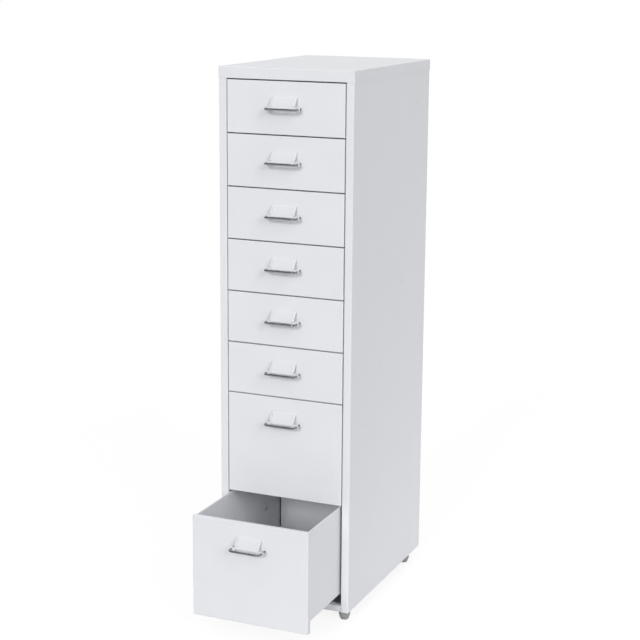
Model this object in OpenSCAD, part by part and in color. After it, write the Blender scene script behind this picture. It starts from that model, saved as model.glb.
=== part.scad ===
// Tall drawer cabinet folded from painted sheet steel: eight drawers on welded runner
// racks, wire pulls with sloping label brackets, and four levelling feet.
// The front faces -Y and the floor is at z = 0, under the middle of the shell.

/* [Shell] */
// Width over the side panels
cabinet_w = 280; // [250:1:360]
// Depth from the drawer fronts to the back
cabinet_d = 416; // [380:1:560]
// Gap between the floor and the shell
foot_h = 20; // [19:0.5:26]
// Sheet thickness of the shell and the drawers
sheet = 0.8; // [0.7:0.1:1]
// Outside radius of a fold in the shell
shell_fold = 1.8; // [1.4:0.1:2.4]
// Width of the post on each side of the drawers
post_w = 16.5; // [15:0.5:20]
// Height of the cap's skirt, which is the rail above the drawers
top_rail_h = 22.3; // [16:0.1:40]
// Height of the rail below the drawers
base_rail_h = 13.1; // [12:0.1:20]

/* [Drawers] */
// Height that a shallow drawer takes, with its gap
shallow_pitch = 102.5; // [95:0.5:140]
// Height that a deep drawer takes, with its gap
deep_pitch = 206.2; // [180:0.1:260]
// Gap between two drawer fronts
row_gap = 2.2; // [1.6:0.1:3]
// Gap between a drawer front and a post
side_gap = 1.75; // [1.5:0.05:2.5]
// Depth of a drawer, from its face to its back
tray_depth = 397; // [360:1:399]
// How far the front hangs below the tray
skirt = 20.4; // [16:0.1:24]
// Full travel of a drawer
travel = 270; // [240:1:280]
// How far the bottom drawer stands open
open_by = 157.6; // [0:0.1:270]

/* [Pulls and labels] */
// Distance between the legs of a wire pull
pull_span = 64; // [58:1:80]
// How far a pull stands out from the front
pull_reach = 28; // [24:1:34]
// Thickness of the wire
wire_d = 4.5; // [4:0.1:5]
// Depth of the wire below the top of the front
pull_drop = 50.5; // [44:0.5:54]
// Width of the label bracket's sloping plate
label_w = 51; // [44:1:54]

/* [Hidden] */
$fn = 48;
SHALLOW = 6;             // shallow drawers, above the deep ones
DRAWERS = 8;
FOLD_STEPS = 4;          // flats in one folded corner
half_w = cabinet_w / 2;
front_y = -cabinet_d / 2;
back_y = cabinet_d / 2;
opening_x = half_w - post_w;
body_half = half_w - sheet;             // the body stands inside the cap's skirt
body_front = front_y + sheet;
body_back = back_y - sheet;
side_in = body_half - sheet;            // inner face of a side panel
shell_h = top_rail_h + base_rail_h + row_gap
    + SHALLOW * shallow_pitch + (DRAWERS - SHALLOW) * deep_pitch;
top_z = foot_h + shell_h;

// Shell folds
post_return = 11;        // depth of the post's inner fold
rail_return = 12;
rail_hem = 6;
base_return = 14;
base_rear = 20;          // height of the base's rear fold
base_upstand = 15;
weld_nut_r = 7.2;        // over its corners
weld_nut_h = 8.4;        // from the middle of the sheet
edge_gap = 0.3;          // between the base's side edges and the folds beside them

// Drawer front
front_half = opening_x - side_gap;
front_fold = 1.6;        // outside radius of the front's folded edges
side_lip = 12;           // depth of the front's folded sides and bottom
top_lip = 8;

// Tray
tray_half = front_half - 2.75;
tray_fold = 1.2;
hem_h = 8;
hem_gap = 0.9;
corner_slit = 2.5;       // open slit beside the tray's back
back_hem = 12;
corner_tab_h = 15;       // height of a tab that ties the back to a side wall
end_drop = 6;            // how far the plate behind the front stays below the walls
weld_gap = 0.05;         // air left between sheets that are welded face to edge
glide = [3.8, 4];        // slide strip on the rear of a side wall, reach and height
glide_y = [250, 387];    // its two ends, from the drawer's face
glide_z = 24;            // strip's underside above the tray's underside
stop_y = 320;            // stop tab, from the drawer's face
stop_slot = [12, 6];
stop_reach = 11;

// Runner racks
rack_sheet = 1.2;
upright_w = 30;
upright_deep = 4.6;
upright_y = [22, 352];   // front edges of the two uprights, from the cabinet's face
upright_z = [20, 40];    // how far its ends stay from the shell's underside and top
runner_y = [13, 399.5];  // front and rear ends of a runner
runner_h = 31.5;
ledge_in = tray_half - 3.5;
lip_in = tray_half + 1.8;
run_gap = 0.35;          // between a tray and what guides it

// Pull and label bracket
wire_r = wire_d / 2;
wire_y = pull_reach - wire_r;           // from the face to the bar's centreline
pull_bend = 6.5;
stub = 7;                // wire behind the face
leg_hole_r = wire_r + 0.05;
nut_af = 8;
nut_h = 3.2;
bracket_sheet = 1;
bracket_top = 29.5;      // where the plate leaves the front, below the front's top
bracket_foot = [14, pull_drop - 3];     // lower fold of the plate, out and down
bracket_flange = 4;
slope = atan2(bracket_foot[0] - bracket_sheet / 2, bracket_foot[1] - bracket_top);
slope_run = norm([bracket_foot[0] - bracket_sheet / 2, bracket_foot[1] - bracket_top]);
bracket_lip = 3;
card_channel = 1.5;      // free depth behind the lips
ear_w = 7.5;
ear_h = 9;
card_t = 0.5;
card_gap = 0.05;         // between the card and the plate behind it
card_margin = 1.5;       // plate left free above and below the card

// Feet
foot_x = half_w - 15.5;
foot_y = [front_y + 19.5, back_y - 58];  // the rear pair stands well forward
cup_h = 16.8;
cup_top_r = 11.8;
cup_base_r = 8.6;
cup_edge = 2.4;          // rounding of the cup's foot, and height of its rim
cup_wall = 2;
boss_wall = 3;           // plastic round the stud
rim_hollow = 5;          // depth of the hollow between the boss and the wall
bore_depth = 9;
stud_r = 4;
stud_top = foot_h + 20;
nut_clear = 0.06;
lock_nut_r = 7.5;        // over its corners
lock_nut_h = 2.4;

SIDES = ["left", "right"];
ENDS = ["front", "rear"];

// ---- Rows ----

function pitch(i) = i <= SHALLOW ? shallow_pitch : deep_pitch;
function above(i) = i <= 1 ? 0 : above(i - 1) + pitch(i - 1);
function face_top(i) = top_z - top_rail_h - row_gap - above(i);
function face_h(i) = pitch(i) - row_gap;
function tray_z(i) = face_top(i) - face_h(i) + skirt;
function tray_top(i) = face_top(i) - sheet;
// Height of the stop tab: the middle of the side wall
function stop_z(i) = (tray_z(i) + tray_top(i)) / 2;
function pulled(i) = i == DRAWERS ? open_by : 0;

// ---- Folded sheet ----

function heading(a, b) = atan2(b.y - a.y, b.x - a.x);
function turn(a) = a > 180 ? a - 360 : a < -180 ? a + 360 : a;
function unit(a) = [cos(a), sin(a)];

// The middle line of a folded sheet: [x, y, heading] along straight runs and round folds
function fold_line(path, r) = [
    [path[0].x, path[0].y, heading(path[0], path[1])],
    for (i = [1:len(path) - 2])
        let (a = heading(path[i - 1], path[i]),
             t = turn(heading(path[i], path[i + 1]) - a),
             side = sign(t),
             start = path[i] - r * tan(abs(t) / 2) * unit(a),
             centre = start + side * r * unit(a + 90))
        for (k = [0:FOLD_STEPS])
            let (b = a + t * k / FOLD_STEPS, p = centre - side * r * unit(b + 90))
            [p.x, p.y, b],
    let (n = len(path) - 1)
    [path[n].x, path[n].y, heading(path[n - 1], path[n])]
];

function beside(line, d) = [for (p = line) [p.x, p.y] + d * unit(p[2] + 90)];
function reversed(list) = [for (i = [len(list) - 1:-1:0]) list[i]];

// Sheet of thickness t folded along path, with outside radius r
module folded(path, t, r, length) {
    line = fold_line(path, r - t / 2);
    linear_extrude(length)
        polygon(concat(beside(line, t / 2), reversed(beside(line, -t / 2))));
}

// The same, with the path in X and Z, running along +Y
module folded_along_y(path, t, r, length)
    translate([0, length, 0]) rotate([90, 0, 0]) folded(path, t, r, length);

// The same, with the path in Y and Z, running along +X
module folded_along_x(path, t, r, length)
    rotate([90, 0, 90]) folded(path, t, r, length);

module round_square(w, h, r) {
    for (x = [r, w - r], y = [r, h - r]) translate([x, y]) circle(r);
    translate([r, 0]) square([w - 2 * r, h]);
    translate([0, r]) square([w, h - 2 * r]);
}

module both_sides() {
    children();
    mirror([1, 0, 0]) children();
}

// ---- Shell ----

// The right-hand side: post fold, outer wall and rear fold in one profile that rises
// inside the cap up to its fold
module side_panel() {
    m = sheet / 2;
    color("white") translate([0, 0, foot_h])
        folded([[opening_x + m, body_front + post_return], [opening_x + m, body_front + m],
                [body_half - m, body_front + m], [body_half - m, body_back - m],
                [opening_x, body_back - m]], sheet, shell_fold, shell_h - shell_fold);
}

// Solid block with rounded top and upright edges, from the skirt's lower edge up
module cap_block(w, d, h, r) {
    intersection() {
        translate([-w / 2, -d / 2, 0]) linear_extrude(h) round_square(w, d, r);
        translate([-w / 2, -d / 2, -2 * r]) rotate([90, 0, 90])
            linear_extrude(w) round_square(d, h + 2 * r, r);
        translate([-w / 2, d / 2, -2 * r]) rotate([90, 0, 0])
            linear_extrude(d) round_square(w, h + 2 * r, r);
    }
}

// Cap whose skirt laps the body all round; between the posts it turns in as the rail
module top_panel() {
    m = sheet / 2;
    rail_z = top_z - top_rail_h;
    color("white") union() {
        difference() {
            translate([0, 0, rail_z])
                cap_block(cabinet_w, cabinet_d, top_rail_h, shell_fold);
            translate([0, 0, rail_z - 1])
                cap_block(cabinet_w - 2 * sheet, cabinet_d - 2 * sheet,
                          top_rail_h + 1 - sheet, shell_fold - sheet);
            translate([-opening_x, front_y - 1, rail_z - 1])
                cube([2 * opening_x, sheet + 1.5, 1 + rail_hem]);
        }
        translate([-opening_x, 0, 0])
            folded_along_x([[front_y + rail_return - m, rail_z + rail_hem],
                            [front_y + rail_return - m, rail_z + m],
                            [front_y + m, rail_z + m], [front_y + m, rail_z + rail_hem]],
                           sheet, front_fold, 2 * opening_x);
    }
}

// Base sheet with the front rail, the rear fold, side upstands and the weld nuts
module base_panel() {
    m = sheet / 2;
    rail_z = foot_h + base_rail_h;
    wing_y = body_front + post_return + edge_gap;
    wing_d = body_back - 2 * sheet - edge_gap - wing_y;
    color("white") difference() {
        union() {
            translate([-opening_x, 0, 0])
                folded_along_x([[body_front + base_return, rail_z - m],
                                [body_front + m, rail_z - m], [body_front + m, foot_h + m],
                                [body_back - m, foot_h + m],
                                [body_back - m, foot_h + base_rear]],
                               sheet, front_fold, 2 * opening_x);
            both_sides() translate([0, wing_y, 0])
                folded_along_y([[opening_x - 1, foot_h + m], [side_in - m, foot_h + m],
                                [side_in - m, foot_h + base_upstand]],
                               sheet, tray_fold, wing_d);
            for (x = [-foot_x, foot_x], y = foot_y)
                translate([x, y, foot_h + m]) cylinder(h = weld_nut_h, r = weld_nut_r, $fn = 6);
        }
        for (x = [-foot_x, foot_x], y = foot_y) translate([x, y, foot_h - 1])
            cylinder(h = weld_nut_h + 3, r = stud_r + nut_clear);
    }
}

// Flat sheet inside the rear folds, clear of their inner radii
module back_panel() {
    half = side_in - shell_fold + sheet - 0.05;
    color("white") translate([-half, body_back - 2 * sheet, foot_h + front_fold])
        cube([2 * half, sheet, shell_h - front_fold - shell_fold]);
}

// ---- Runner racks ----

// One C-shaped runner: the ledge carries the tray, the lip keeps it from tipping
module runner(i) {
    m = rack_sheet / 2;
    z = tray_z(i) - run_gap;
    web = side_in - upright_deep - m;
    len_y = runner_y[1] - runner_y[0];
    translate([0, front_y + runner_y[0], 0])
        folded_along_y([[lip_in, z + runner_h - m], [web, z + runner_h - m], [web, z - m],
                        [ledge_in, z - m]], rack_sheet, tray_fold, len_y);
    // bent end that stops the closed tray
    translate([ledge_in, front_y + runner_y[1] - rack_sheet, z - m])
        cube([web - ledge_in, rack_sheet, runner_h - 4]);
}

// Finger on the front upright that the tray's stop tab meets when fully open
module stop_finger(i) {
    reach = side_in - upright_deep - rack_sheet - tray_half - stop_reach + 5;
    finger_y = front_y + stop_y - travel - run_gap - rack_sheet;
    translate([side_in - upright_deep - reach, finger_y, stop_z(i) - stop_slot.y])
        cube([reach + rack_sheet / 2, rack_sheet, 2 * stop_slot.y]);
}

module rack() {
    m = rack_sheet / 2;
    color("silver") union() {
        for (y = upright_y) translate([0, front_y + y, foot_h + upright_z[0]])
            folded([[side_in, m], [side_in - upright_deep + m, m],
                    [side_in - upright_deep + m, upright_w - m], [side_in, upright_w - m]],
                   rack_sheet, tray_fold, shell_h - upright_z[0] - upright_z[1]);
        for (i = [1:DRAWERS]) {
            runner(i);
            stop_finger(i);
        }
    }
}

// ---- Drawers ----

// Solid block with the front's folded outline, d deep behind the face
module face_block(w, h, d, r) {
    intersection() {
        translate([-w / 2, 0, 0]) linear_extrude(h) round_square(w, d + 2 * r, r);
        translate([-w / 2, 0, 0]) rotate([90, 0, 90])
            linear_extrude(w) round_square(d + 2 * r, h, r);
        translate([-w / 2, 0, 0]) cube([w, d, h]);
    }
}

// Folded front: a face with side, bottom and top lips, pierced for the pull
module front(i) {
    w = 2 * front_half;
    h = face_h(i);
    color("white") translate([0, front_y - pulled(i), face_top(i) - h]) difference() {
        face_block(w, h, side_lip, front_fold);
        translate([0, sheet, sheet])
            face_block(w - 2 * sheet, h - 2 * sheet, side_lip, front_fold - sheet);
        // the top lip is shallower than the sides
        translate([-w / 2, top_lip, h - 2 * front_fold]) cube([w, side_lip, 2 * front_fold]);
        for (x = [-1, 1]) translate([x * pull_span / 2, -1, h - pull_drop])
            rotate([-90, 0, 0]) cylinder(h = sheet + 2, r = leg_hole_r);
    }
}

// The tray's floor and hemmed side walls in one folded sheet, with lanced stop tabs
module tray_wrap(i, h) {
    m = sheet / 2;
    hem_x = tray_half - sheet - hem_gap;
    slot_z = stop_z(i) - tray_z(i) - stop_slot.y / 2;
    walls = [[-hem_x + m, h - hem_h], [-hem_x + m, h - m], [-tray_half + m, h - m],
             [-tray_half + m, m], [tray_half - m, m], [tray_half - m, h - m],
             [hem_x - m, h - m], [hem_x - m, h - hem_h]];
    length = tray_depth - 3 * sheet - 2 * weld_gap;
    difference() {
        union() {
            translate([0, 2 * sheet + weld_gap, 0])
                folded_along_y(walls, sheet, tray_fold, length);
            both_sides() {
                // slide strip that runs under the runner's lip
                translate([tray_half - m, glide_y[0], glide_z])
                    cube([glide.x + m, glide_y[1] - glide_y[0], glide.y]);
                // stop tab bent out of its slot
                translate([tray_half - m, stop_y, slot_z])
                    cube([stop_reach + m, sheet, stop_slot.y]);
            }
        }
        both_sides() translate([tray_half - 2 * sheet, stop_y + sheet, slot_z])
            cube([3 * sheet, stop_slot.x, stop_slot.y]);
    }
}

// Tray of three welded sheets: the wrap, a plate behind the front that the pull's legs
// pierce, and a back with hemmed sides, open corner slits and tabs on the wrap's ends
module tray(i) {
    z = tray_z(i);
    h = tray_top(i) - z;
    inner = tray_half - sheet - corner_slit;
    color("white") translate([0, front_y - pulled(i), z]) {
        tray_wrap(i, h);
        difference() {
            translate([-tray_half + tray_fold, sheet, 0])
                cube([2 * (tray_half - tray_fold), sheet, h - end_drop]);
            for (x = [-1, 1])
                translate([x * pull_span / 2, 0, face_top(i) - pull_drop - z])
                    rotate([-90, 0, 0]) cylinder(h = 3 * sheet, r = leg_hole_r);
        }
        translate([0, tray_depth - sheet, 0]) union() {
            translate([-inner, 0, 0]) cube([2 * inner, sheet, h]);
            both_sides() {
                translate([inner - back_hem, -sheet, tray_fold])
                    cube([back_hem, 2 * sheet, h - 2 * tray_fold]);
                for (t = [corner_tab_h, h - 2 * corner_tab_h - hem_h])
                    translate([0, 0, t]) cube([tray_half, sheet, corner_tab_h]);
            }
        }
    }
}

// Bent wire pull with a nut on each leg behind the face
module pull(i) {
    reach = wire_y - pull_bend;
    color("gainsboro")
        translate([0, front_y - pulled(i), face_top(i) - pull_drop]) union() {
            translate([-pull_span / 2 + pull_bend, -wire_y, 0]) rotate([0, 90, 0])
                cylinder(h = pull_span - 2 * pull_bend, r = wire_r);
            both_sides() {
                translate([pull_span / 2, -reach, 0]) rotate([-90, 0, 0])
                    cylinder(h = reach + stub, r = wire_r);
                translate([pull_span / 2 - pull_bend, -reach, 0]) rotate([0, 0, -90])
                    rotate_extrude(angle = 90) translate([pull_bend, 0]) circle(wire_r);
                translate([pull_span / 2, 2 * sheet, 0]) rotate([-90, 0, 0])
                    cylinder(h = nut_h, d = nut_af / cos(30), $fn = 6);
            }
        }
}

// Sheet bracket over the pull: it leaves the face, slopes out and rests on the legs.
// Built lying in the slope's own plane, then tipped into place.
module label_bracket(i) {
    m = bracket_sheet / 2;
    upright = [-sin(slope), cos(slope)];   // straight up, seen from the slope
    foot = [0, -slope_run];
    lip_y = card_channel + bracket_sheet;
    edge = label_w / 2;
    color("white") translate([0, front_y - pulled(i), face_top(i)]) difference() {
        union() {
            translate([0, -m, -bracket_top]) rotate([-slope, 0, 0]) {
                translate([-edge + 0.3, 0, 0])
                    folded_along_x([upright * bracket_flange, [0, 0], foot,
                                    foot - upright * 2], bracket_sheet, 1.2, label_w - 0.6);
                // channel whose lips hold the card, a little thinner than the plate
                translate([0, 0, -slope_run + 0.5])
                    folded([[-edge + bracket_lip, -lip_y], [-edge + m, -lip_y],
                            [-edge + m, 0], [edge - m, 0],
                            [edge - m, -lip_y], [edge - bracket_lip, -lip_y]],
                           bracket_sheet - 0.1, 1.2, slope_run - 2);
            }
            // ears that sit round the legs
            both_sides() translate([0, -bracket_foot[0] + m, -pull_drop])
                rotate([90, 0, 0]) linear_extrude(bracket_sheet) {
                    translate([pull_span / 2, 0]) circle(ear_h / 2);
                    translate([pull_span / 2 - ear_w, -ear_h / 2 + 1])
                        square([ear_w, ear_h - 1]);
                }
        }
        for (x = [-1, 1]) translate([x * pull_span / 2, -bracket_foot[0] - 2, -pull_drop])
            rotate([-90, 0, 0]) cylinder(h = 4, r = leg_hole_r);
    }
}

// Paper card that slides into the bracket's channel
module label_card(i) {
    m = bracket_sheet / 2;
    w = label_w - 2 * bracket_sheet - 1;
    color("ivory") translate([0, front_y - pulled(i) - m, face_top(i) - bracket_top])
        rotate([-slope, 0, 0])
        translate([-w / 2, -m - card_t - card_gap, -slope_run + card_margin])
            cube([w, card_t, slope_run - 2 * card_margin]);
}

// ---- Feet ----

// Tapered cup that stands on the floor, with a bore for the stud
module foot_cup() {
    color("gray") difference() {
        rotate_extrude() difference() {
            union() {
                polygon([[0, 0], [cup_base_r - cup_edge, 0], [cup_base_r, cup_edge],
                         [cup_top_r, cup_h - 2 * cup_edge],
                         [cup_top_r - cup_edge / 4, cup_h], [0, cup_h]]);
                translate([cup_base_r - cup_edge, cup_edge]) intersection() {
                    circle(cup_edge);
                    translate([0, -cup_edge]) square([cup_edge, cup_edge]);
                }
            }
            // hollow under the rim
            translate([stud_r + boss_wall, cup_h - rim_hollow])
                square([cup_top_r - stud_r - boss_wall - cup_wall, rim_hollow + 1]);
        }
        translate([0, 0, cup_h - bore_depth])
            cylinder(h = bore_depth + 1, r = stud_r + nut_clear);
    }
}

// Stud with its lock nut under the shell
module foot_stud()
    color("silver") union() {
        translate([0, 0, cup_h - bore_depth])
            cylinder(h = stud_top - cup_h + bore_depth, r = stud_r);
        translate([0, 0, cup_h + 0.1]) cylinder(h = lock_nut_h, r = lock_nut_r, $fn = 6);
    }

// ---- Nodes ----

mirror([1, 0, 0]) side_panel();  // side_left
side_panel();  // side_right
top_panel();
base_panel();
back_panel();
mirror([1, 0, 0]) rack();  // rack_left
rack();  // rack_right
for (i = [1:DRAWERS]) {
    tray(i);
    front(i);
    pull(i);
    label_bracket(i);
    label_card(i);
}
for (e = [0, 1], s = [0, 1]) {
    at = [s == 0 ? -foot_x : foot_x, foot_y[e], 0];
    name = str(ENDS[e], "_", SIDES[s]);
    translate(at) foot_cup();
    translate(at) foot_stud();
}
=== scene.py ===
"""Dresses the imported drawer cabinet: paint, plated metal, wire pulls, feet and a studio."""
import math

import bmesh
import bpy
from bpy.props import (FloatProperty, FloatVectorProperty, IntProperty,
                       PointerProperty)
from mathutils import Matrix, Vector


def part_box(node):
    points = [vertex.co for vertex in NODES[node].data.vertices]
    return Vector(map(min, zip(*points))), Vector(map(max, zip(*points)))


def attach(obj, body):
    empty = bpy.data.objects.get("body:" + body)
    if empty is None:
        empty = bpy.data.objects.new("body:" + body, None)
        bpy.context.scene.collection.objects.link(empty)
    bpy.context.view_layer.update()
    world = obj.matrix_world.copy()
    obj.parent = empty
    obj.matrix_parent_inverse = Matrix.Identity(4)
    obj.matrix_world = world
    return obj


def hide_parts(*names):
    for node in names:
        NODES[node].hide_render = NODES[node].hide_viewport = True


bl_info = {
    "name": "Tall drawer cabinet",
    "version": (1, 0, 0),
    "blender": (4, 5, 0),
    "location": "View3D > Sidebar > Cabinet",
    "description": "Finishes a sheet-steel drawer cabinet and sets it in a plain studio",
    "category": "Object",
}

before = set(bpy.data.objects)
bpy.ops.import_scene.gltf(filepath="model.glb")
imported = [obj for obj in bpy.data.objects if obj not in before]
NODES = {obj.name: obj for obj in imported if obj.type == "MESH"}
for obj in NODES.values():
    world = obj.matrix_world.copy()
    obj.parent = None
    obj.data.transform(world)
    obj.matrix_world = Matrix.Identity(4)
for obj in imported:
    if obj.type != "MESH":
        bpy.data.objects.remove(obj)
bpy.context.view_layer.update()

DRAWERS = range(1, 9)
CORNERS = [f"{end}_{side}" for end in ("front", "rear") for side in ("left", "right")]
PLAIN_SHELL = ("top_panel", "base_panel", "back_panel", "side_left")
RACKS = ("rack_left", "rack_right")
# Faint dents in the right side, bumped in and painted darker as shade, y and z, in metres
SIDE_DENTS = [(0.136, 1.000), (0.063, 0.643), (-0.049, 0.496), (-0.138, 0.391),
              (-0.179, 0.378), (-0.015, 0.309), (0.056, 0.289)]
# Middle of the floor's lighter part, in metres
FLOOR_SPOT = (0.65, 0.15, 0.0)
CARD_WHITE = (0.735, 0.74, 0.77, 1.0)
# Where the camera stands, in metres, and its azimuth, fall and roll, in degrees
CAMERA_PLACE = (1.23627, -2.91749, 1.27928)
CAMERA_ANGLES = (23.207, 12.78, 0.45)
# Width over the flats and height of a nut, in metres
PULL_NUT = (0.008, 0.0032)
LOCK_NUT = (0.013, 0.0024)
# A nut stands this far behind the front's face: past the two sheets
NUT_SEAT = 0.0016
# A foot's rim clears the lock nut by this much
NUT_GAP = 0.0001


# ---- Sizes and colours that a user may change ----

def colour_property(name, description, default):
    return FloatVectorProperty(name=name, description=description, subtype="COLOR",
                               size=4, min=0.0, max=1.0, default=(*default, 1.0))


def length_property(name, description, default):
    return FloatProperty(name=name, description=description, default=default,
                         min=0.0, unit="LENGTH", precision=5)


def share_property(name, description, default):
    return FloatProperty(name=name, description=description, default=default,
                         min=0.0, max=1.0, subtype="FACTOR")


def power_property(name, description, default):
    return FloatProperty(name=name, description=description, default=default, min=0.0)


class PaintSettings(bpy.types.PropertyGroup):
    """The powder coat on the case and the drawers"""
    colour: colour_property("Paint", "Colour of the powder coat", (0.79, 0.80, 0.83))
    roughness: share_property("Roughness", "How matt the powder coat is", 0.42)
    peel_size: length_property("Peel size", "Width of one bump of the coat's texture", 0.0016)
    peel_depth: length_property("Peel depth", "Height of the coat's texture", 0.000012)
    ripple_depth: length_property("Ripple", "How far a large sheet is out of flat", 0.00012)
    dent_radius: length_property("Dent radius", "Radius of a faint dent in a side", 0.006)
    dent_depth: length_property("Dent depth", "Depth of a faint dent in a side", 0.00015)


class WireSettings(bpy.types.PropertyGroup):
    """The plated wire pulls"""
    # The plating's colour is darker than bright chrome: the plating's own grey plus a painted
    # dark reflection of the room.
    colour: colour_property("Plating", "Colour of the plated wire", (0.30, 0.30, 0.31))
    roughness: share_property("Roughness", "How dull the plating is", 0.16)
    span: length_property("Span", "Distance between the two legs", 0.064)
    reach: length_property("Reach", "How far the wire stands out from the front", 0.028)
    tail: length_property("Tail", "Length of a leg behind the face", 0.007)
    diameter: length_property("Diameter", "Thickness of the wire", 0.0045)
    bend: length_property("Bend", "Radius of a bend, along the wire's middle", 0.0065)
    sides: IntProperty(name="Sides", description="Facets round the wire", default=24, min=8)


class FootSettings(bpy.types.PropertyGroup):
    """The levelling feet"""
    colour: colour_property("Plastic", "Colour of the moulded cup", (0.32, 0.32, 0.33))
    steel: colour_property("Steel", "Colour of zinc-plated steel", (0.50, 0.51, 0.53))
    stud_radius: length_property("Stud radius", "Radius over the stud's thread", 0.004)
    thread_pitch: length_property("Pitch", "Rise of one turn of the stud's thread", 0.00125)


class StageSettings(bpy.types.PropertyGroup):
    """Floor, light and camera"""
    floor_size: length_property("Floor size", "Width of the floor", 60.0)
    near_tone: share_property("Near tone", "How light the floor beside the cabinet is", 0.88)
    far_tone: share_property("Far tone", "How light the rest of the floor is", 0.47)
    near_edge: length_property("Near edge", "Where the floor starts to darken", 0.3)
    far_edge: length_property("Far edge", "Where the floor has its far tone", 1.05)
    floor_light: share_property("Floor light", "Light that falls on the open floor", 0.78)
    shadow_fade: share_property("Shadow fade", "How much of the shadow is held back", 0.74)
    world: share_property("World light", "Strength of the even light", 0.415)
    room: share_property("Room", "What metal mirrors of the room before the cabinet", 0.05)
    front: power_property("Front light", "Strength of the light from before", 1.17)
    right: power_property("Right light", "Strength of the broad light from the right", 0.82)
    side: power_property("Side light", "Strength of the small light from the right", 0.33)
    top: power_property("Top light", "Strength of the light from above", 0.27)
    back: power_property("Back light", "Strength of the light from behind", 0.80)
    lens: FloatProperty(name="Lens", description="Focal length", unit="CAMERA",
                        default=88.83, min=1.0)


class CabinetSettings(bpy.types.PropertyGroup):
    """Everything that can be changed on the cabinet's finish"""
    paint: PointerProperty(type=PaintSettings)
    wire: PointerProperty(type=WireSettings)
    foot: PointerProperty(type=FootSettings)
    stage: PointerProperty(type=StageSettings)


# ---- Node trees ----

def new_tree(name, kind, inputs, outputs):
    """A node group with named sockets; inputs are (name, socket type, default)."""
    tree = bpy.data.node_groups.new(name, kind)
    for label, socket_type, default in inputs:
        socket = tree.interface.new_socket(name=label, in_out="INPUT",
                                           socket_type=socket_type)
        if default is not None:
            socket.default_value = default
    for label, socket_type in outputs:
        tree.interface.new_socket(name=label, in_out="OUTPUT", socket_type=socket_type)
    return tree, tree.nodes.new("NodeGroupInput"), tree.nodes.new("NodeGroupOutput")


def put(tree, kind, sources=None, **settings):
    """A new node with its settings, and its inputs linked or set from sources."""
    node = tree.nodes.new(kind)
    for key, value in settings.items():
        setattr(node, key, value)
    for key, source in (sources or {}).items():
        if isinstance(source, bpy.types.NodeSocket):
            tree.links.new(source, node.inputs[key])
        else:
            node.inputs[key].default_value = source
    return node


def maths(tree, operation, a, b=0.0, c=0.0):
    return put(tree, "ShaderNodeMath", {0: a, 1: b, 2: c}, operation=operation).outputs[0]


def spread(tree, value, low, high, to_low, to_high):
    """value, taken from low..high to to_low..to_high, smoothly and no further."""
    return put(tree, "ShaderNodeMapRange", {
        "Value": value, "From Min": low, "From Max": high,
        "To Min": to_low, "To Max": to_high}, interpolation_type="SMOOTHSTEP",
        clamp=True).outputs["Result"]


def noise(tree, where, scale, detail=2.0, roughness=0.5):
    return put(tree, "ShaderNodeTexNoise", {
        "Vector": where, "Scale": scale, "Detail": detail,
        "Roughness": roughness}).outputs["Fac"]


def tinted(tree, colour, factor):
    """colour times a grey factor."""
    grey = put(tree, "ShaderNodeCombineColor", {0: factor, 1: factor, 2: factor})
    mix = put(tree, "ShaderNodeMix", data_type="RGBA", blend_type="MULTIPLY")
    mix.inputs["Factor"].default_value = 1.0
    tree.links.new(colour, mix.inputs["A"])
    tree.links.new(grey.outputs[0], mix.inputs["B"])
    return mix.outputs["Result"]


SURFACE_OUT = [("Colour", "NodeSocketColor"), ("Roughness", "NodeSocketFloat"),
               ("Height", "NodeSocketFloat")]


def powder_coat():
    """Orange peel, faint ripples of the sheet and a slight unevenness of tone."""
    tree, given, out = new_tree("Powder coat", "ShaderNodeTree", [
        ("Colour", "NodeSocketColor", None), ("Roughness", "NodeSocketFloat", 0.4),
        ("Peel Size", "NodeSocketFloat", 0.0016), ("Peel Depth", "NodeSocketFloat", 1e-5),
        ("Ripple Depth", "NodeSocketFloat", 1e-4)], SURFACE_OUT)
    where = put(tree, "ShaderNodeTexCoord").outputs["Object"]
    peel = noise(tree, where, maths(tree, "DIVIDE", 1.0, given.outputs["Peel Size"]), 1.0)
    ripple = noise(tree, where, 4.5, 1.0)
    cloud = noise(tree, where, 11.0, 3.0)
    height = maths(tree, "MULTIPLY", peel, given.outputs["Peel Depth"])
    height = maths(tree, "MULTIPLY_ADD", ripple, given.outputs["Ripple Depth"], height)
    tree.links.new(height, out.inputs["Height"])
    tree.links.new(tinted(tree, given.outputs["Colour"],
                          spread(tree, cloud, 0.3, 0.7, 0.99, 1.01)), out.inputs["Colour"])
    rough = maths(tree, "MULTIPLY", given.outputs["Roughness"],
                  spread(tree, cloud, 0.3, 0.7, 0.94, 1.06))
    tree.links.new(rough, out.inputs["Roughness"])
    return tree


def side_dents():
    """A few faint round dents in the side sheet, as a mask and a depth; the mask also places
    the painted shade in the dents.
    """
    tree, given, out = new_tree("Side dents", "ShaderNodeTree", [
        ("Radius", "NodeSocketFloat", 0.006), ("Depth", "NodeSocketFloat", 1e-4)],
        [("Mask", "NodeSocketFloat"), ("Height", "NodeSocketFloat")])
    place = put(tree, "ShaderNodeSeparateXYZ",
                {0: put(tree, "ShaderNodeTexCoord").outputs["Object"]})
    flat = put(tree, "ShaderNodeCombineXYZ", {1: place.outputs[1], 2: place.outputs[2]})
    nearest = 1.0
    for y, z in SIDE_DENTS:
        far = put(tree, "ShaderNodeVectorMath", {0: flat.outputs[0], 1: (0.0, y, z)},
                  operation="DISTANCE").outputs["Value"]
        nearest = maths(tree, "MINIMUM", far, nearest)
    mask = spread(tree, maths(tree, "DIVIDE", nearest, given.outputs["Radius"]),
                  0.0, 1.0, 1.0, 0.0)
    tree.links.new(mask, out.inputs["Mask"])
    deep = maths(tree, "MULTIPLY", mask, given.outputs["Depth"])
    tree.links.new(maths(tree, "MULTIPLY", deep, -1.0), out.inputs["Height"])
    return tree


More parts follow.
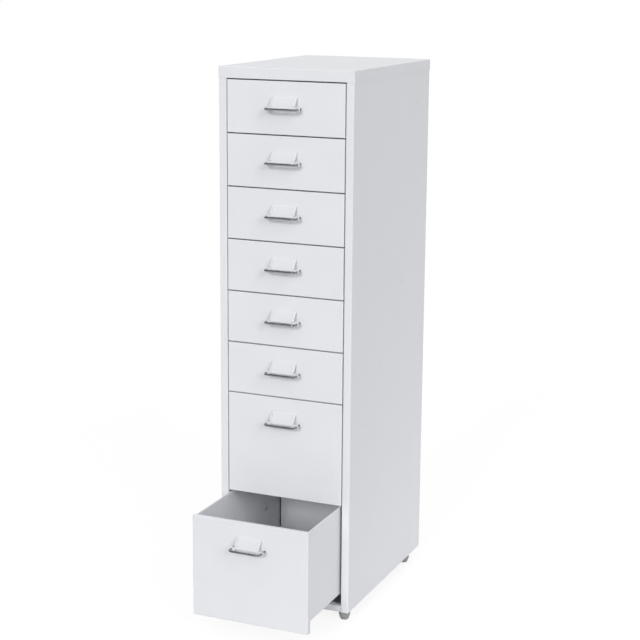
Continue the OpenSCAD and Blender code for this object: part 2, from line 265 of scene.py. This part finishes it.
def plated():
    """Fine drawn streaks and the cloudy tone of plated metal."""
    tree, given, out = new_tree("Plated metal", "ShaderNodeTree", [
        ("Colour", "NodeSocketColor", None), ("Roughness", "NodeSocketFloat", 0.2),
        ("Streak Along", "NodeSocketVector", (1.0, 1.0, 1.0)),
        ("Streak Depth", "NodeSocketFloat", 2e-6), ("Cloud Size", "NodeSocketFloat", 0.01),
        ("Cloudiness", "NodeSocketFloat", 0.1)], SURFACE_OUT)
    where = put(tree, "ShaderNodeTexCoord").outputs["Object"]
    stretched = put(tree, "ShaderNodeVectorMath",
                    {0: where, 1: given.outputs["Streak Along"]},
                    operation="MULTIPLY").outputs["Vector"]
    streak = noise(tree, stretched, 2500.0, 2.0)
    cloud = noise(tree, where, maths(tree, "DIVIDE", 1.0, given.outputs["Cloud Size"]), 4.0,
                  0.6)
    tone = maths(tree, "MULTIPLY_ADD", maths(tree, "SUBTRACT", cloud, 0.5),
                 given.outputs["Cloudiness"], 1.0)
    tree.links.new(tinted(tree, given.outputs["Colour"], tone), out.inputs["Colour"])
    tree.links.new(maths(tree, "MULTIPLY", given.outputs["Roughness"],
                         spread(tree, maths(tree, "ADD", cloud, streak), 0.7, 1.3, 0.8, 1.25)),
                   out.inputs["Roughness"])
    tree.links.new(maths(tree, "MULTIPLY", streak, given.outputs["Streak Depth"]),
                   out.inputs["Height"])
    return tree


def fine_grain():
    """The fine even grain of moulded plastic, or the fibres of card."""
    tree, given, out = new_tree("Fine grain", "ShaderNodeTree", [
        ("Colour", "NodeSocketColor", None), ("Roughness", "NodeSocketFloat", 0.5),
        ("Grain Size", "NodeSocketFloat", 0.0004), ("Grain Depth", "NodeSocketFloat", 1e-5),
        ("Mottle", "NodeSocketFloat", 0.05)], SURFACE_OUT)
    where = put(tree, "ShaderNodeTexCoord").outputs["Object"]
    grain = noise(tree, where, maths(tree, "DIVIDE", 1.0, given.outputs["Grain Size"]), 2.0,
                  0.7)
    tone = maths(tree, "MULTIPLY_ADD", maths(tree, "SUBTRACT", grain, 0.5),
                 given.outputs["Mottle"], 1.0)
    tree.links.new(tinted(tree, given.outputs["Colour"], tone), out.inputs["Colour"])
    tree.links.new(maths(tree, "MULTIPLY", given.outputs["Roughness"],
                         spread(tree, grain, 0.3, 0.7, 0.95, 1.05)), out.inputs["Roughness"])
    tree.links.new(maths(tree, "MULTIPLY", grain, given.outputs["Grain Depth"]),
                   out.inputs["Height"])
    return tree


EFFECTS = {powder_coat: "Powder coat", side_dents: "Side dents",
           plated: "Plated metal", fine_grain: "Fine grain"}


def effect(build):
    """The node group that build makes, made once."""
    return bpy.data.node_groups.get(EFFECTS[build]) or build()


def surface(name, build, values, constants=None):
    """A material whose colour, roughness and bump vary as one effect says."""
    material = bpy.data.materials.new(name)
    material.use_nodes = True
    tree = material.node_tree
    shader = tree.nodes["Principled BSDF"]
    for key, value in (constants or {}).items():
        shader.inputs[key].default_value = value
    group = put(tree, "ShaderNodeGroup", node_tree=effect(build))
    for key, value in values.items():
        group.inputs[key].default_value = value
    bump = put(tree, "ShaderNodeBump", {"Strength": 1.0, "Distance": 1.0,
                                        "Height": group.outputs["Height"]})
    tree.links.new(group.outputs["Colour"], shader.inputs["Base Color"])
    tree.links.new(group.outputs["Roughness"], shader.inputs["Roughness"])
    tree.links.new(bump.outputs["Normal"], shader.inputs["Normal"])
    return material


def paint(name, settings, ripple=1.0):
    return surface(name, powder_coat, {
        "Colour": settings.colour, "Roughness": settings.roughness,
        "Peel Size": settings.peel_size, "Peel Depth": settings.peel_depth,
        "Ripple Depth": settings.ripple_depth * ripple}, {"IOR": 1.5})


def dented_paint(name, settings):
    """The same paint on a side sheet, with its faint dents bumped in and painted shade in
    them.
    """
    material = paint(name, settings)
    tree = material.node_tree
    bump = next(n for n in tree.nodes if n.bl_idname == "ShaderNodeBump")
    shader = tree.nodes["Principled BSDF"]
    coat = bump.inputs["Height"].links[0].from_node
    dents = put(tree, "ShaderNodeGroup", {"Radius": settings.dent_radius,
                                          "Depth": settings.dent_depth},
                node_tree=effect(side_dents))
    tree.links.new(maths(tree, "ADD", coat.outputs["Height"], dents.outputs["Height"]),
                   bump.inputs["Height"])
    # the dents' mask darkens the paint by up to a tenth: painted shade in the dents
    painted_dent_shade = maths(tree, "MULTIPLY_ADD", dents.outputs["Mask"], -0.10, 1.0)
    tree.links.new(tinted(tree, coat.outputs["Colour"], painted_dent_shade), shader.inputs["Base Color"])
    return material


def give(material, *names):
    """Puts a material on CAD nodes."""
    for name in names:
        NODES[name].data.materials.clear()
        NODES[name].data.materials.append(material)


# ---- Meshes ----

def grown(name, tree, values):
    """The plain mesh that a Geometry Nodes tree makes, as a new object at the origin."""
    seed = bpy.data.objects.new(name + "_seed", bpy.data.meshes.new(name + "_seed"))
    bpy.context.scene.collection.objects.link(seed)
    modifier = seed.modifiers.new("Grow", "NODES")
    modifier.node_group = tree
    identifiers = {item.name: item.identifier for item in tree.interface.items_tree
                   if item.item_type == "SOCKET" and item.in_out == "INPUT"}
    for key, value in values.items():
        modifier[identifiers[key]] = value
    bpy.context.view_layer.update()
    mesh = bpy.data.meshes.new_from_object(
        seed.evaluated_get(bpy.context.evaluated_depsgraph_get()))
    seed.modifiers.clear()
    bpy.data.objects.remove(seed)
    return placed(name, mesh)


def placed(name, mesh):
    mesh.name = name
    piece = bpy.data.objects.new(name, mesh)
    bpy.context.scene.collection.objects.link(piece)
    return piece


def smoothed(mesh, degrees=35):
    """Smooth shading with the sharper edges kept sharp."""
    mesh.polygons.foreach_set("use_smooth", [True] * len(mesh.polygons))
    mesh.set_sharp_from_angle(angle=math.radians(degrees))
    mesh.update()
    return mesh


def from_rings(name, rings, material):
    """A mesh through rings of points with the same count, the last joined to the first."""
    work = bmesh.new()
    made = [[work.verts.new(p) for p in ring] for ring in rings]
    count = len(rings[0])
    for low, high in zip(made, made[1:] + made[:1]):
        for k in range(count):
            n = (k + 1) % count
            work.faces.new((low[k], low[n], high[n], high[k]))
    bmesh.ops.recalc_face_normals(work, faces=work.faces)
    mesh = bpy.data.meshes.new(name)
    work.to_mesh(mesh)
    work.free()
    mesh.materials.append(material)
    return mesh


def turned(name, profile, at, material, steps=64):
    """A lathe-turned mesh: profile is a list of (radius, height) round the vertical axis."""
    rings = []
    for radius, height in profile:
        rings.append([(at.x + radius * math.cos(math.tau * k / steps),
                       at.y + radius * math.sin(math.tau * k / steps),
                       at.z + height) for k in range(steps)])
    return smoothed(from_rings(name, rings, material))


def arc(centre, radius, start, end, steps):
    """Points on an arc in the (radius, height) plane, angles in degrees."""
    return [(centre[0] + radius * math.cos(math.radians(start + (end - start) * k / steps)),
             centre[1] + radius * math.sin(math.radians(start + (end - start) * k / steps)))
            for k in range(steps + 1)]


def nut_mesh(name, flats, height, bore, material, steps=48):
    """A chamfered hexagon nut standing on z = 0; bore is a radius."""
    round_off = flats / 2 * 0.96

    def ring(radius_of, z_of):
        points = []
        for k in range(steps):
            angle = math.tau * k / steps
            off = (angle + math.pi / 6) % (math.pi / 3) - math.pi / 6
            hexagon = flats / 2 / math.cos(math.pi / 6 - abs(off))
            radius = radius_of(hexagon)
            points.append((radius * math.cos(angle), radius * math.sin(angle),
                           z_of(hexagon)))
        return points

    slant = math.tan(math.radians(28))    # of the chamfer
    rings = [ring(lambda h: bore, lambda h: 0.0),
             ring(lambda h: round_off, lambda h: 0.0),
             ring(lambda h: h, lambda h: (h - round_off) * slant),
             ring(lambda h: h, lambda h: height - (h - round_off) * slant),
             ring(lambda h: round_off, lambda h: height),
             ring(lambda h: bore, lambda h: height)]
    return smoothed(from_rings(name, rings, material), 20)


# ---- Geometry Nodes ----

def bent_wire():
    """A wire swept along a U with two round bends, its legs pointing along +Y."""
    tree, given, out = new_tree("Bent wire", "GeometryNodeTree", [
        ("Span", "NodeSocketFloat", 0.064), ("Reach", "NodeSocketFloat", 0.026),
        ("Tail", "NodeSocketFloat", 0.007), ("Bend", "NodeSocketFloat", 0.0065),
        ("Radius", "NodeSocketFloat", 0.00225), ("Sides", "NodeSocketInt", 24),
        ("At", "NodeSocketVector", (0.0, 0.0, 0.0)),
        ("Material", "NodeSocketMaterial", None)], [("Geometry", "NodeSocketGeometry")])
    index = put(tree, "GeometryNodeInputIndex").outputs[0]
    right = maths(tree, "GREATER_THAN", index, 1.5)
    tail_end = maths(tree, "GREATER_THAN",
                     maths(tree, "ABSOLUTE", maths(tree, "SUBTRACT", index, 1.5)), 1.0)
    x = maths(tree, "MULTIPLY", maths(tree, "SUBTRACT", right, 0.5), given.outputs["Span"])
    both = maths(tree, "ADD", given.outputs["Tail"], given.outputs["Reach"])
    y = maths(tree, "SUBTRACT", maths(tree, "MULTIPLY", tail_end, both),
              given.outputs["Reach"])
    corners = put(tree, "GeometryNodeMeshLine", {"Count": 4})
    laid = put(tree, "GeometryNodeSetPosition", {
        "Geometry": corners.outputs[0],
        "Position": put(tree, "ShaderNodeCombineXYZ", {0: x, 1: y}).outputs[0],
        "Offset": given.outputs["At"]})
    path = put(tree, "GeometryNodeFilletCurve", {
        "Curve": put(tree, "GeometryNodeMeshToCurve", {"Mesh": laid.outputs[0]}).outputs[0],
        "Radius": given.outputs["Bend"], "Count": 12}, mode="POLY")
    section = put(tree, "GeometryNodeCurvePrimitiveCircle", {
        "Resolution": given.outputs["Sides"], "Radius": given.outputs["Radius"]})
    swept = put(tree, "GeometryNodeCurveToMesh", {
        "Curve": path.outputs[0], "Profile Curve": section.outputs[0], "Fill Caps": True})
    finish_tree(tree, swept.outputs[0], given, out)
    return tree


def finish_tree(tree, geometry, given, out):
    """Ends a tree: instances made real, then the material."""
    real = put(tree, "GeometryNodeRealizeInstances", {"Geometry": geometry})
    dressed = put(tree, "GeometryNodeSetMaterial", {
        "Geometry": real.outputs[0], "Material": given.outputs["Material"]})
    tree.links.new(dressed.outputs[0], out.inputs["Geometry"])


def thread_turns():
    """A threaded rod: a core with one ridge wound up it."""
    tree, given, out = new_tree("Thread turns", "GeometryNodeTree", [
        ("Radius", "NodeSocketFloat", 0.004), ("Pitch", "NodeSocketFloat", 0.00125),
        ("Length", "NodeSocketFloat", 0.02), ("At", "NodeSocketVector", (0.0, 0.0, 0.0)),
        ("Material", "NodeSocketMaterial", None)], [("Geometry", "NodeSocketGeometry")])
    ridge = maths(tree, "MULTIPLY", given.outputs["Pitch"], 0.46)
    middle = maths(tree, "SUBTRACT", given.outputs["Radius"], ridge)
    climb = maths(tree, "SUBTRACT", given.outputs["Length"], given.outputs["Pitch"])
    spiral = put(tree, "GeometryNodeCurveSpiral", {
        "Resolution": 28, "Start Radius": middle, "End Radius": middle, "Height": climb,
        "Rotations": maths(tree, "DIVIDE", climb, given.outputs["Pitch"])})
    section = put(tree, "GeometryNodeCurvePrimitiveCircle", {"Resolution": 4,
                                                             "Radius": ridge})
    wound = put(tree, "GeometryNodeCurveToMesh", {
        "Curve": spiral.outputs[0], "Profile Curve": section.outputs[0],
        "Fill Caps": True})
    lifted = put(tree, "GeometryNodeTransform", {
        "Geometry": wound.outputs[0],
        "Translation": put(tree, "ShaderNodeCombineXYZ", {
            2: maths(tree, "MULTIPLY", given.outputs["Pitch"], 0.5)}).outputs[0]})
    core = put(tree, "GeometryNodeMeshCylinder", {
        "Vertices": 40, "Radius": maths(tree, "MULTIPLY_ADD", ridge, 0.1, middle),
        "Depth": given.outputs["Length"]})
    stood = put(tree, "GeometryNodeTransform", {
        "Geometry": core.outputs["Mesh"],
        "Translation": put(tree, "ShaderNodeCombineXYZ", {
            2: maths(tree, "MULTIPLY", given.outputs["Length"], 0.5)}).outputs[0]})
    both = put(tree, "GeometryNodeJoinGeometry")
    for part in (stood, lifted):
        tree.links.new(part.outputs[0], both.inputs[0])
    put_up = put(tree, "GeometryNodeTransform", {
        "Geometry": both.outputs[0], "Translation": given.outputs["At"]})
    finish_tree(tree, put_up.outputs[0], given, out)
    return tree


def set_on_points():
    """One object repeated at both ends of a pull: on its legs, behind the face."""
    tree, given, out = new_tree("Set on legs", "GeometryNodeTree", [
        ("Object", "NodeSocketObject", None), ("Span", "NodeSocketFloat", 0.064),
        ("At", "NodeSocketVector", (0.0, 0.0, 0.0)),
        ("Material", "NodeSocketMaterial", None)], [("Geometry", "NodeSocketGeometry")])
    half = maths(tree, "MULTIPLY", given.outputs["Span"], -0.5)
    start = put(tree, "ShaderNodeVectorMath", {
        0: given.outputs["At"],
        1: put(tree, "ShaderNodeCombineXYZ", {0: half}).outputs[0]}, operation="ADD")
    legs = put(tree, "GeometryNodeMeshLine", {
        "Count": 2, "Start Location": start.outputs["Vector"],
        "Offset": put(tree, "ShaderNodeCombineXYZ",
                      {0: given.outputs["Span"]}).outputs[0]})
    shape = put(tree, "GeometryNodeObjectInfo", {"Object": given.outputs["Object"]})
    several = put(tree, "GeometryNodeInstanceOnPoints", {
        "Points": legs.outputs[0], "Instance": shape.outputs["Geometry"],
        "Rotation": (math.radians(-90), 0.0, 0.0)})
    finish_tree(tree, several.outputs[0], given, out)
    return tree


# ---- Operators ----

class CABINET_OT_paint_shell(bpy.types.Operator):
    """Powder coat on the shell's sheets"""
    bl_idname = "cabinet.paint_shell"
    bl_label = "Paint the shell"

    def execute(self, context):
        settings = context.scene.cabinet.paint
        give(paint("Outer paint", settings), *PLAIN_SHELL)
        give(dented_paint("Side paint", settings), "side_right")
        return {"FINISHED"}


class CABINET_OT_paint_drawers(bpy.types.Operator):
    """Powder coat on the drawer fronts and the trays"""
    bl_idname = "cabinet.paint_drawers"
    bl_label = "Paint the drawers"

    def execute(self, context):
        settings = context.scene.cabinet.paint
        give(paint("Front paint", settings, 0.6), *(f"front_{i}" for i in DRAWERS))
        give(paint("Tray paint", settings, 0.8), *(f"tray_{i}" for i in DRAWERS))
        return {"FINISHED"}


class CABINET_OT_plate_racks(bpy.types.Operator):
    """Zinc plate on the runner racks"""
    bl_idname = "cabinet.plate_racks"
    bl_label = "Plate the racks"

    def execute(self, context):
        settings = context.scene.cabinet.foot
        give(surface("Rack zinc", plated, {
            "Colour": settings.steel, "Roughness": 0.38, "Streak Along": (1.0, 0.05, 1.0),
            "Streak Depth": 4e-6, "Cloud Size": 0.012, "Cloudiness": 0.35},
            {"Metallic": 1.0}), *RACKS)
        return {"FINISHED"}


class CABINET_OT_dress_labels(bpy.types.Operator):
    """Paint on the label brackets and plain card in them"""
    bl_idname = "cabinet.dress_labels"
    bl_label = "Dress the labels"

    def execute(self, context):
        settings = context.scene.cabinet.paint
        give(paint("Bracket paint", settings, 0.0),
             *(f"label_bracket_{i}" for i in DRAWERS))
        give(surface("White card", fine_grain, {
            "Colour": CARD_WHITE, "Roughness": 0.75, "Grain Size": 0.0006,
            "Grain Depth": 2e-5, "Mottle": 0.06}), *(f"label_card_{i}" for i in DRAWERS))
        return {"FINISHED"}


class CABINET_OT_bend_pulls(bpy.types.Operator):
    """Bent wire pulls with a nut on each leg"""
    bl_idname = "cabinet.bend_pulls"
    bl_label = "Bend the pulls"

    def execute(self, context):
        wire = context.scene.cabinet.wire
        # the wire's colour is darker than bright chrome: its own plating tone plus a painted
        # dark reflection
        darkened_chrome = surface("Plated wire with painted dark reflection", plated, {
            "Colour": wire.colour, "Roughness": wire.roughness,
            "Streak Along": (0.05, 1.0, 1.0), "Streak Depth": 1e-6,
            "Cloud Size": 0.006, "Cloudiness": 0.08}, {"Metallic": 1.0})
        zinc = surface("Nut zinc", plated, {
            "Colour": context.scene.cabinet.foot.steel, "Roughness": 0.3,
            "Streak Along": (1.0, 1.0, 1.0), "Streak Depth": 3e-6, "Cloud Size": 0.003,
            "Cloudiness": 0.2}, {"Metallic": 1.0})
        nut = placed("leg_nut_pattern", nut_mesh("leg_nut_pattern", *PULL_NUT,
                                                 wire.diameter / 2 * 0.98, zinc))
        wire_tree, nut_tree = bent_wire(), set_on_points()
        for i in DRAWERS:
            low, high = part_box(f"pull_{i}")
            face = low.y + wire.reach
            height = (low.z + high.z) / 2
            pull = grown(f"wire_pull_{i}", wire_tree, {
                "Span": wire.span, "Reach": wire.reach - wire.diameter / 2,
                "Tail": wire.tail, "Bend": wire.bend, "Radius": wire.diameter / 2,
                "Sides": wire.sides, "At": (0.0, face, height), "Material": darkened_chrome})
            smoothed(pull.data)
            nuts = grown(f"leg_nuts_{i}", nut_tree, {
                "Object": nut, "Span": wire.span, "At": (0.0, face + NUT_SEAT, height),
                "Material": zinc})
            for piece, slot in ((pull, "wire"), (nuts, "stud_steel")):
                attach(piece, f"drawer_{i}")
                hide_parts(f"pull_{i}")
        bpy.data.objects.remove(nut)
        return {"FINISHED"}


class CABINET_OT_turn_feet(bpy.types.Operator):
    """Moulded cups on threaded studs with lock nuts"""
    bl_idname = "cabinet.turn_feet"
    bl_label = "Turn the feet"

    def execute(self, context):
        foot = context.scene.cabinet.foot
        plastic = surface("Moulded plastic", fine_grain, {
            "Colour": foot.colour, "Roughness": 0.45, "Grain Size": 0.0005,
            "Grain Depth": 8e-6, "Mottle": 0.12})
        zinc = surface("Stud zinc", plated, {
            "Colour": foot.steel, "Roughness": 0.28, "Streak Along": (1.0, 1.0, 1.0),
            "Streak Depth": 3e-6, "Cloud Size": 0.003, "Cloudiness": 0.2}, {"Metallic": 1.0})
        tree = thread_turns()
        for corner in CORNERS:
            low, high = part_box(f"foot_{corner}")
            at = Vector(((low.x + high.x) / 2, (low.y + high.y) / 2, low.z))
            cup = placed(f"foot_cup_{corner}", turned(
                f"foot_cup_{corner}", cup_profile(high.x - low.x, high.z - low.z),
                at, plastic))
            bottom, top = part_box(f"stud_{corner}")
            stud = grown(f"threaded_stud_{corner}", tree, {
                "Radius": foot.stud_radius, "Pitch": foot.thread_pitch,
                "Length": top.z - bottom.z, "At": (at.x, at.y, bottom.z),
                "Material": zinc})
            nut = placed(f"lock_nut_{corner}", nut_mesh(
                f"lock_nut_{corner}", *LOCK_NUT, foot.stud_radius * 0.9, zinc))
            nut.data.transform(Matrix.Translation((at.x, at.y, high.z + NUT_GAP)))
            for piece, node, slot in ((cup, "foot_", "foot_plastic"),
                                      (stud, "stud_", "stud_steel"),
                                      (nut, "stud_", "stud_steel")):
                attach(piece, f"{corner}_foot")
                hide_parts(node + corner)
        return {"FINISHED"}


def cup_profile(width, height):
    """Section of a cup: a rounded tread, a flaring wall, a soft rim and a hollow top."""
    top, tread, round_edge, rim = width / 2, 0.0086, 0.0024, 0.0009
    bore, seat, middle, hollow = 0.0041, 0.004, 0.0003, 0.005
    wall = height - 2 * round_edge
    section = [(bore, seat), (middle, seat), (middle, 0.0)]
    section += arc((tread - round_edge, round_edge), round_edge, -90, -10, 8)
    section += [(tread + 0.0002, round_edge + 0.0008), (top - 0.0002, wall - 0.0012)]
    section += arc((top - rim, wall), rim, -8, 30, 4)
    section += arc((top - 0.0006 - rim, height - rim), rim, 20, 90, 6)
    section += [(top - 0.0022, height), (top - 0.003, height - hollow),
                (0.0070, height - hollow), (0.0066, height - 0.0002), (bore, height)]
    return section


class CABINET_OT_set_stage(bpy.types.Operator):
    """A pale floor, soft light and the camera"""
    bl_idname = "cabinet.set_stage"
    bl_label = "Set the stage"

    def execute(self, context):
        stage = context.scene.cabinet.stage
        add_floor(stage)
        add_world(context.scene, stage)
        for name, strength, width, towards, glint in (
                ("Front light", stage.front, 14, (0.0, -0.93, 0.37), True),
                ("Right light", stage.right, 28, (0.66, -0.56, 0.50), False),
                ("Side light", stage.side, 12, (0.76, -0.60, 0.26), False),
                ("Top light", stage.top, 70, (0.0, 0.0, 1.0), True),
                ("Back light", stage.back, 60, (-0.62, 0.76, 0.20), False)):
            add_lamp(name, strength, width, towards, glint)
        add_camera(context.scene, stage)
        context.scene.view_settings.view_transform = "Standard"
        return {"FINISHED"}


def seen_directly(tree, *kinds):
    """1 where a ray is of one of these kinds, otherwise 0."""
    path = put(tree, "ShaderNodeLightPath")
    total = path.outputs[kinds[0]]
    for kind in kinds[1:]:
        total = maths(tree, "MAXIMUM", total, path.outputs[kind])
    return total


def add_floor(stage):
    half = stage.floor_size / 2
    mesh = bpy.data.meshes.new("floor")
    mesh.from_pydata([(-half, -half, 0), (half, -half, 0), (half, half, 0),
                      (-half, half, 0)], [], [(0, 1, 2, 3)])
    material = bpy.data.materials.new("Pale floor")
    material.use_nodes = True
    tree = material.node_tree
    tree.nodes.clear()
    where = put(tree, "ShaderNodeTexCoord").outputs["Object"]
    away = put(tree, "ShaderNodeVectorMath", {0: where, 1: FLOOR_SPOT},
               operation="DISTANCE").outputs["Value"]
    tone = spread(tree, away, stage.near_edge, stage.far_edge, stage.near_tone,
                  stage.far_tone)
    uneven = maths(tree, "MULTIPLY", tone,
                   spread(tree, noise(tree, where, 3.0), 0.3, 0.7, 0.997, 1.003))
    grey = put(tree, "ShaderNodeCombineColor", {0: uneven, 1: uneven, 2: uneven})
    matt = put(tree, "ShaderNodeBsdfDiffuse", {"Color": grey.outputs[0]})
    # white on the open floor, with part of the shadow held back where it is seen
    dark = maths(tree, "MULTIPLY", tone, stage.floor_light * (1.0 - stage.shadow_fade))
    glow = put(tree, "ShaderNodeEmission", {
        "Strength": maths(tree, "DIVIDE", maths(tree, "SUBTRACT", 1.0, dark),
                          stage.shadow_fade)})
    share = maths(tree, "MULTIPLY", stage.shadow_fade, seen_directly(
        tree, "Is Camera Ray", "Is Glossy Ray", "Is Transmission Ray"))
    both = put(tree, "ShaderNodeMixShader", {0: share, 1: matt.outputs[0],
                                             2: glow.outputs[0]})
    end = put(tree, "ShaderNodeOutputMaterial")
    tree.links.new(both.outputs[0], end.inputs["Surface"])
    mesh.materials.append(material)
    placed("floor", mesh)


def add_world(scene, stage):
    world = bpy.data.worlds.new("Studio")
    world.use_nodes = True
    scene.world = world
    tree = world.node_tree
    tree.nodes.clear()
    # white to the eye; metal mirrors the white backdrop and the dimmer room before it
    along = put(tree, "ShaderNodeSeparateXYZ", {
        0: put(tree, "ShaderNodeTexCoord").outputs["Generated"]}).outputs[1]
    mirrored = maths(tree, "MULTIPLY", seen_directly(tree, "Is Glossy Ray"),
                     spread(tree, along, -0.5, 0.2, stage.room, 1.0))
    seen = maths(tree, "MAXIMUM", mirrored,
                 seen_directly(tree, "Is Camera Ray", "Is Transmission Ray"))
    others = maths(tree, "SUBTRACT", 1.0, seen_directly(
        tree, "Is Camera Ray", "Is Glossy Ray", "Is Transmission Ray"))
    strength = maths(tree, "MULTIPLY_ADD", others, stage.world, seen)
    light = put(tree, "ShaderNodeBackground", {"Color": (1.0, 1.0, 1.0, 1.0),
                                               "Strength": strength})
    end = put(tree, "ShaderNodeOutputWorld")
    tree.links.new(light.outputs[0], end.inputs["Surface"])


def add_lamp(name, strength, width, towards, glint):
    """A soft distant lamp, width in degrees; glint: whether gloss and metal mirror it."""
    data = bpy.data.lights.new(name, "SUN")
    data.energy = strength
    data.angle = math.radians(width)
    lamp = bpy.data.objects.new(name, data)
    lamp.rotation_euler = Vector(towards).to_track_quat("Z", "Y").to_euler()
    lamp.location = Vector(towards) * 4
    lamp.visible_glossy = glint
    bpy.context.scene.collection.objects.link(lamp)


def add_camera(scene, stage):
    """The photo's point of view."""
    azimuth, elevation, roll = (math.radians(a) for a in CAMERA_ANGLES)
    forward = Vector((-math.sin(azimuth) * math.cos(elevation),
                      math.cos(azimuth) * math.cos(elevation), -math.sin(elevation)))
    level = Vector((math.cos(azimuth), math.sin(azimuth), 0.0))
    up = level.cross(forward)
    right = level * math.cos(roll) + up * math.sin(roll)
    up = up * math.cos(roll) - level * math.sin(roll)
    data = bpy.data.cameras.new("Camera")
    data.sensor_width = 36.0
    data.lens = stage.lens
    data.clip_end = 200.0
    camera = bpy.data.objects.new("Camera", data)
    turn = Matrix((right, up, -forward)).transposed().to_4x4()
    camera.matrix_world = Matrix.Translation(CAMERA_PLACE) @ turn
    scene.collection.objects.link(camera)
    scene.camera = camera


class CABINET_PT_sidebar(bpy.types.Panel):
    """Lists the cabinet's settings and steps"""
    bl_idname = "CABINET_PT_sidebar"
    bl_label = "Drawer cabinet"
    bl_space_type = "VIEW_3D"
    bl_region_type = "UI"
    bl_category = "Cabinet"

    def draw(self, context):
        settings = context.scene.cabinet
        for group in (settings.paint, settings.wire, settings.foot, settings.stage):
            box = self.layout.box()
            for name in group.bl_rna.properties.keys():
                if name not in ("rna_type", "name"):
                    box.prop(group, name)
        for step in STEPS:
            self.layout.operator(step.bl_idname)


STEPS = (CABINET_OT_paint_shell, CABINET_OT_paint_drawers, CABINET_OT_plate_racks,
         CABINET_OT_dress_labels, CABINET_OT_bend_pulls, CABINET_OT_turn_feet,
         CABINET_OT_set_stage)
CLASSES = (PaintSettings, WireSettings, FootSettings, StageSettings, CabinetSettings,
           *STEPS, CABINET_PT_sidebar)


def register():
    for cls in CLASSES:
        bpy.utils.register_class(cls)
    bpy.types.Scene.cabinet = PointerProperty(type=CabinetSettings)


def unregister():
    del bpy.types.Scene.cabinet
    for cls in reversed(CLASSES):
        bpy.utils.unregister_class(cls)


def main():
    register()
    bpy.ops.cabinet.paint_shell()
    bpy.ops.cabinet.paint_drawers()
    bpy.ops.cabinet.plate_racks()
    bpy.ops.cabinet.dress_labels()
    bpy.ops.cabinet.bend_pulls()
    bpy.ops.cabinet.turn_feet()
    bpy.ops.cabinet.set_stage()


if __name__ == "__main__":
    main()
